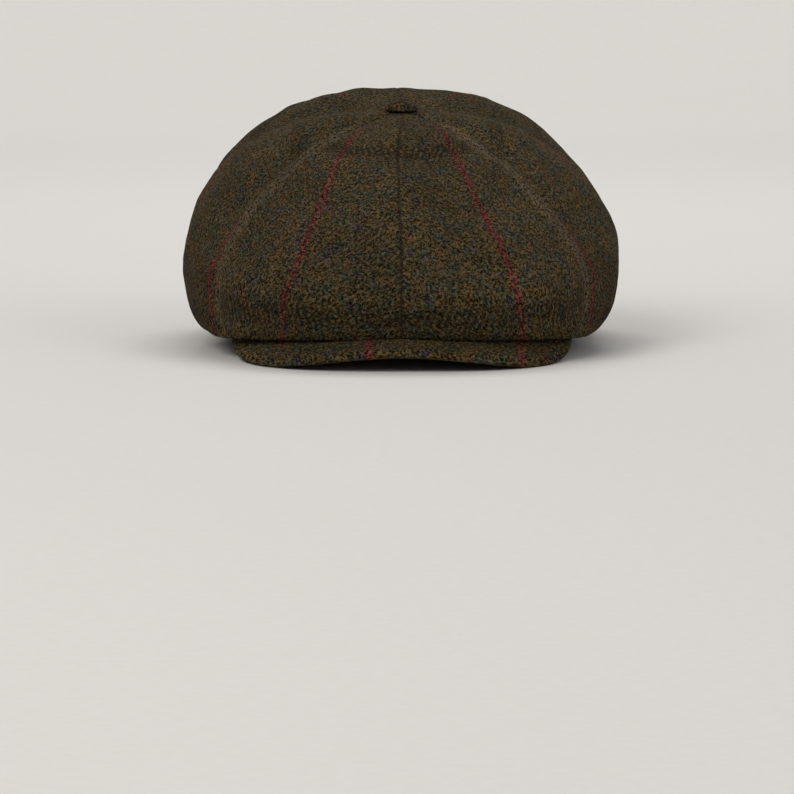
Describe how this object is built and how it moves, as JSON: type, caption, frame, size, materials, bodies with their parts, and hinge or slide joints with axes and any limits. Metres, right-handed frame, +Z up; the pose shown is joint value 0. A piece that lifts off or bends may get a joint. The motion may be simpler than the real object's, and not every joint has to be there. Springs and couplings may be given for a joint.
{
  "type": "newsboy cap",
  "caption": "Soft tweed newsboy cap: puffed panelled crown with a covered button, lined inside, with a sweatband and a stiff curved peak.",
  "frame": {"origin": "under the middle of the head opening, on the surface that the cap stands on with its peak and the back of its rim", "axes": "+Z up, -Y towards the front edge of the peak, +X towards the wearer's left"},
  "size_m": [0.2052, 0.2792, 0.1173],
  "materials": {
    "tweed": "heathered olive-brown wool tweed with a crimson windowpane line",
    "peak_tweed": "the same tweed, stretched smooth over the peak",
    "lining": "dark brown satin lining",
    "canvas": "unbleached cotton canvas",
    "tape": "off-white cotton tape",
    "sweatband_leather": "brown sheepskin, soft satin",
    "sweatband_thread": "tan polyester thread",
    "brown_thread": "dark brown thread",
    "board": "stiff peak board",
    "button_steel": "pressed steel"
  },
  "bodies": {
    "cap": {"panel_front_left": "tweed", "panel_front_right": "tweed", "panel_side_front_left": "tweed", "panel_side_front_right": "tweed", "panel_side_back_left": "tweed", "panel_side_back_right": "tweed", "panel_back_left": "tweed", "panel_back_right": "tweed", "lining_front_left": "lining", "lining_front_right": "lining", "lining_side_front_left": "lining", "lining_side_front_right": "lining", "lining_side_back_left": "lining", "lining_side_back_right": "lining", "lining_back_left": "lining", "lining_back_right": "lining", "interlining_left": "canvas", "interlining_right": "canvas", "crown_patch": "canvas", "rim_tape": "tape", "sweatband": "sweatband_leather", "sweatband_stitches": "sweatband_thread", "size_tab": "tape", "button_cover": "tweed", "button_shell": "button_steel", "button_back": "button_steel", "button_shank": "button_steel"},
    "peak": {"peak_board": "board", "peak_top_cover": "peak_tweed", "peak_under_cover": "peak_tweed", "peak_tacks": "brown_thread"}
  },
  "joints": [
    {"name": "peak_tilt", "type": "hinge", "parent": "cap", "child": "peak", "pos_m": [0, -0.053, 0.0164], "axis": [1, 0, 0], "range_deg": [0, 12], "stiffness_Nm_per_rad": 0.3, "springref_deg": -8.59}
  ]
}
